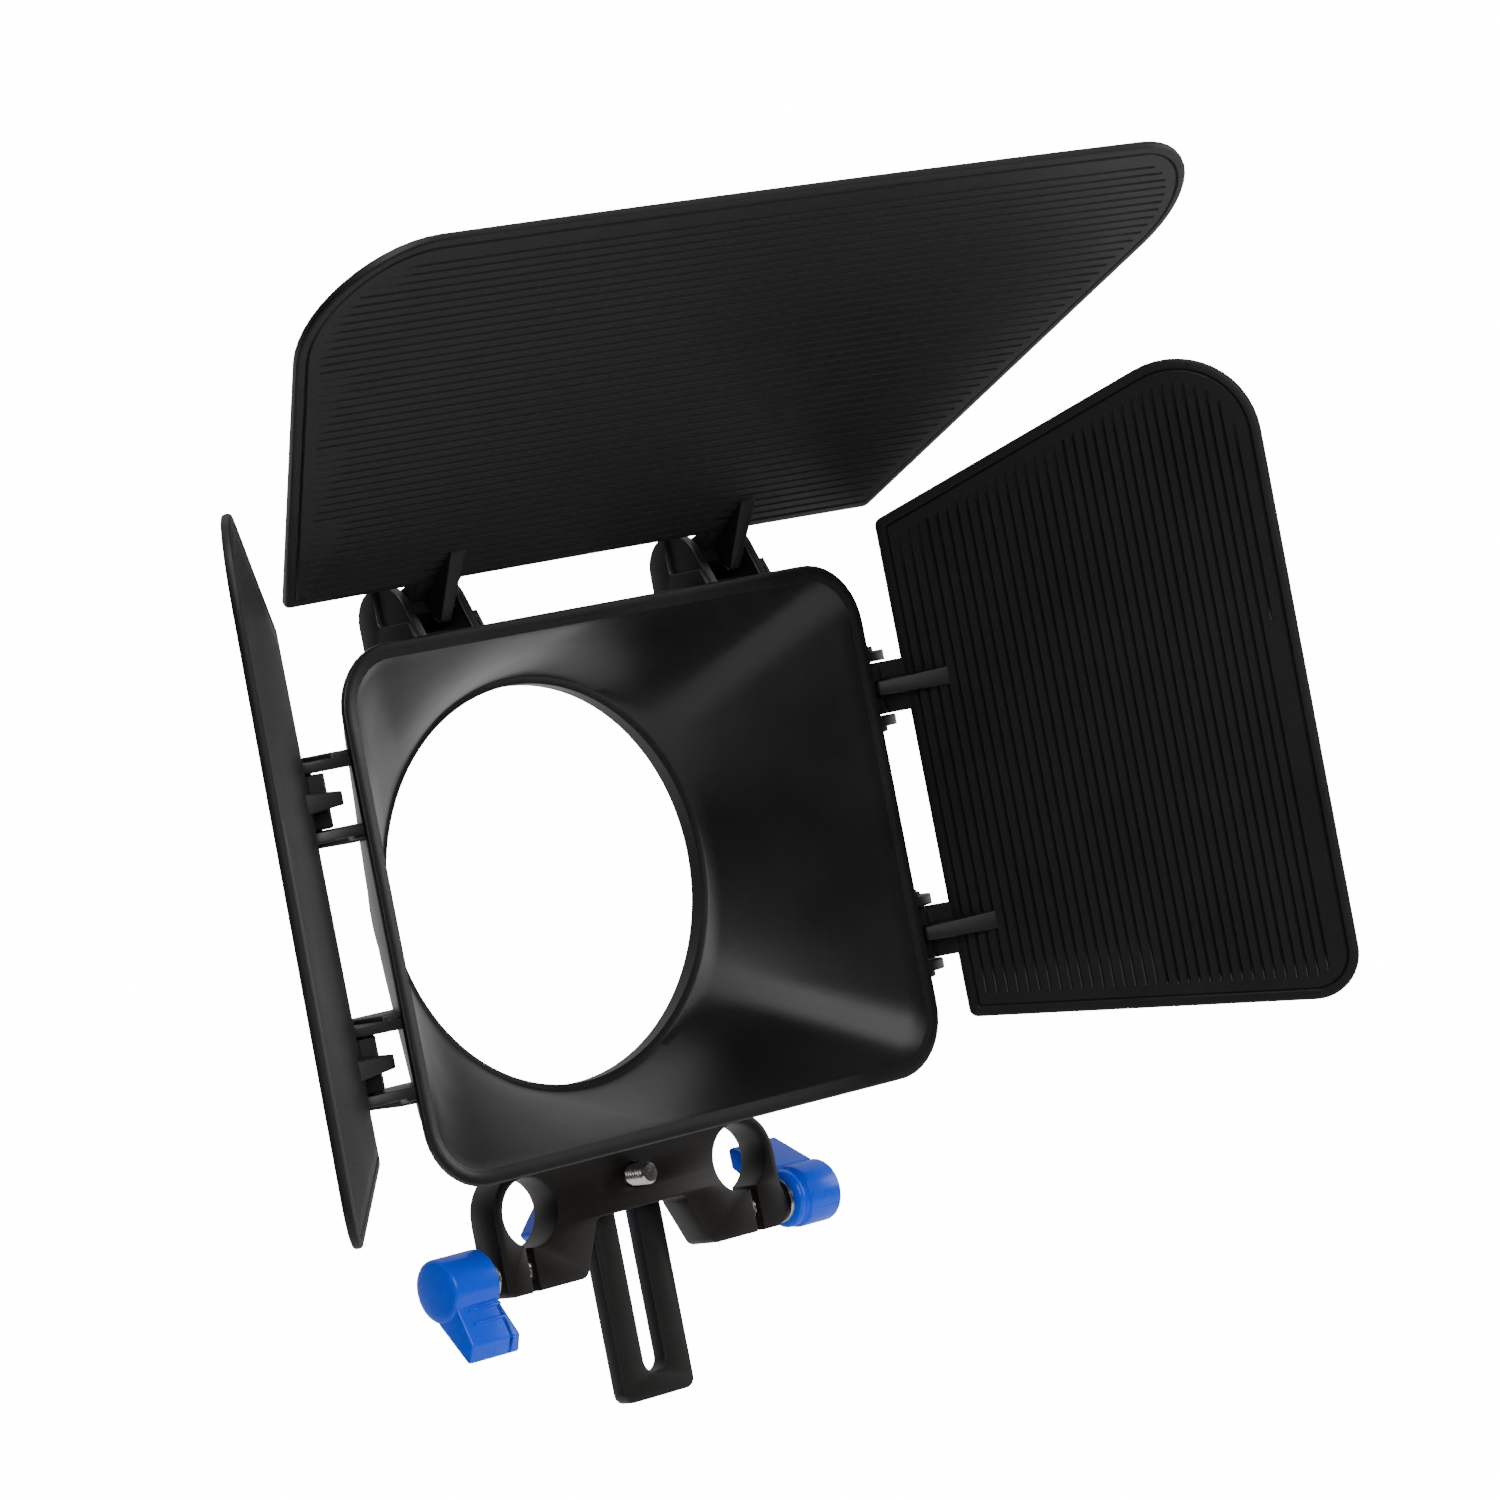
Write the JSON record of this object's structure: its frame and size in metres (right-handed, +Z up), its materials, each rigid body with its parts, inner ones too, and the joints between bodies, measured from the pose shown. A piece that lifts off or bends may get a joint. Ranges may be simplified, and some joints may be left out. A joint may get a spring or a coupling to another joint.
{
  "type": "matte box with barn door flags",
  "caption": "Camera matte box: a rectangular lens hood with hinged barn door flags at the top and sides, on a slotted height plate and a rod clamp with wing knobs.",
  "frame": {"origin": "midway between the two rod-bore axes, on the front face of the clamp block", "axes": "+X to the right seen from the front, +Y to the rear (towards the camera body, along the rods), +Z up"},
  "size_m": [0.2809, 0.1424, 0.2443],
  "materials": {
    "hood_plastic": "fine satin texture",
    "flag_plastic": "matte, ribbed inner face",
    "black_anodised": "black anodised, satin",
    "blue_knob": "glossy",
    "steel": "bright"
  },
  "bodies": {
    "clamp": {"clamp_block": "black_anodised"},
    "carriage": {"hood": "hood_plastic", "height_plate": "black_anodised", "left_plate_screw": "steel", "right_plate_screw": "steel", "left_lower_hinge_pin": "steel", "left_upper_hinge_pin": "steel", "right_lower_hinge_pin": "steel", "right_upper_hinge_pin": "steel", "top_left_hinge_pin": "steel", "top_right_hinge_pin": "steel"},
    "top_leaf": {"top_flag": "flag_plastic"},
    "left_leaf": {"left_flag": "flag_plastic"},
    "right_leaf": {"right_flag": "flag_plastic"},
    "left_clamp_washer": {"left_clamp_knob_washer": "steel"},
    "left_clamp_screw": {"left_clamp_knob": "blue_knob", "left_clamp_stud": "steel"},
    "right_clamp_washer": {"right_clamp_knob_washer": "steel"},
    "right_clamp_screw": {"right_clamp_knob": "blue_knob", "right_clamp_stud": "steel"},
    "height_washer": {"height_lock_knob_washer": "steel"},
    "height_screw": {"height_lock_knob": "blue_knob", "height_lock_stud": "steel"}
  },
  "joints": [
    {"name": "height_slide", "type": "slide", "parent": "clamp", "child": "carriage", "axis": [0, 0, 1], "range_m": [0, 0.038]},
    {"name": "top_flag_hinge", "type": "hinge", "parent": "carriage", "child": "top_leaf", "pos_m": [0, -0.014, 0.1285], "axis": [-1, 0, 0], "range_deg": [-12.2, 60.8]},
    {"name": "left_flag_hinge", "type": "hinge", "parent": "carriage", "child": "left_leaf", "pos_m": [-0.0773, -0.014, 0.067], "axis": [0, 0, -1], "range_deg": [-21.2, 53.8]},
    {"name": "right_flag_hinge", "type": "hinge", "parent": "carriage", "child": "right_leaf", "pos_m": [0.0773, -0.014, 0.067], "axis": [0, 0, 1], "range_deg": [-16.5, 58.5]},
    {"name": "left_clamp_travel", "type": "slide", "parent": "clamp", "child": "left_clamp_washer", "axis": [-1, 0, 0], "range_m": [-0.00081, 0.00121]},
    {"name": "left_clamp_turn", "type": "hinge", "parent": "left_clamp_washer", "child": "left_clamp_screw", "pos_m": [-0.04, 0.0042, -0.0118], "axis": [-1, 0, 0], "range_deg": [-360, 540]},
    {"name": "right_clamp_travel", "type": "slide", "parent": "clamp", "child": "right_clamp_washer", "axis": [1, 0, 0], "range_m": [0, 0.00121]},
    {"name": "right_clamp_turn", "type": "hinge", "parent": "right_clamp_washer", "child": "right_clamp_screw", "pos_m": [0.0413, 0.0042, -0.0118], "axis": [1, 0, 0], "range_deg": [0, 540]},
    {"name": "height_lock_travel", "type": "slide", "parent": "clamp", "child": "height_washer", "axis": [0, 1, 0], "range_m": [0, 0.00121]},
    {"name": "height_lock_turn", "type": "hinge", "parent": "height_washer", "child": "height_screw", "pos_m": [0, 0.0095, 0.0022], "axis": [0, 1, 0], "range_deg": [0, 540]}
  ],
  "couplings": [
    {"joint": "left_clamp_travel", "follows": "left_clamp_turn", "m_per_rad": 0.00012732},
    {"joint": "right_clamp_travel", "follows": "right_clamp_turn", "m_per_rad": 0.00012732},
    {"joint": "height_lock_travel", "follows": "height_lock_turn", "m_per_rad": 0.00012732}
  ]
}
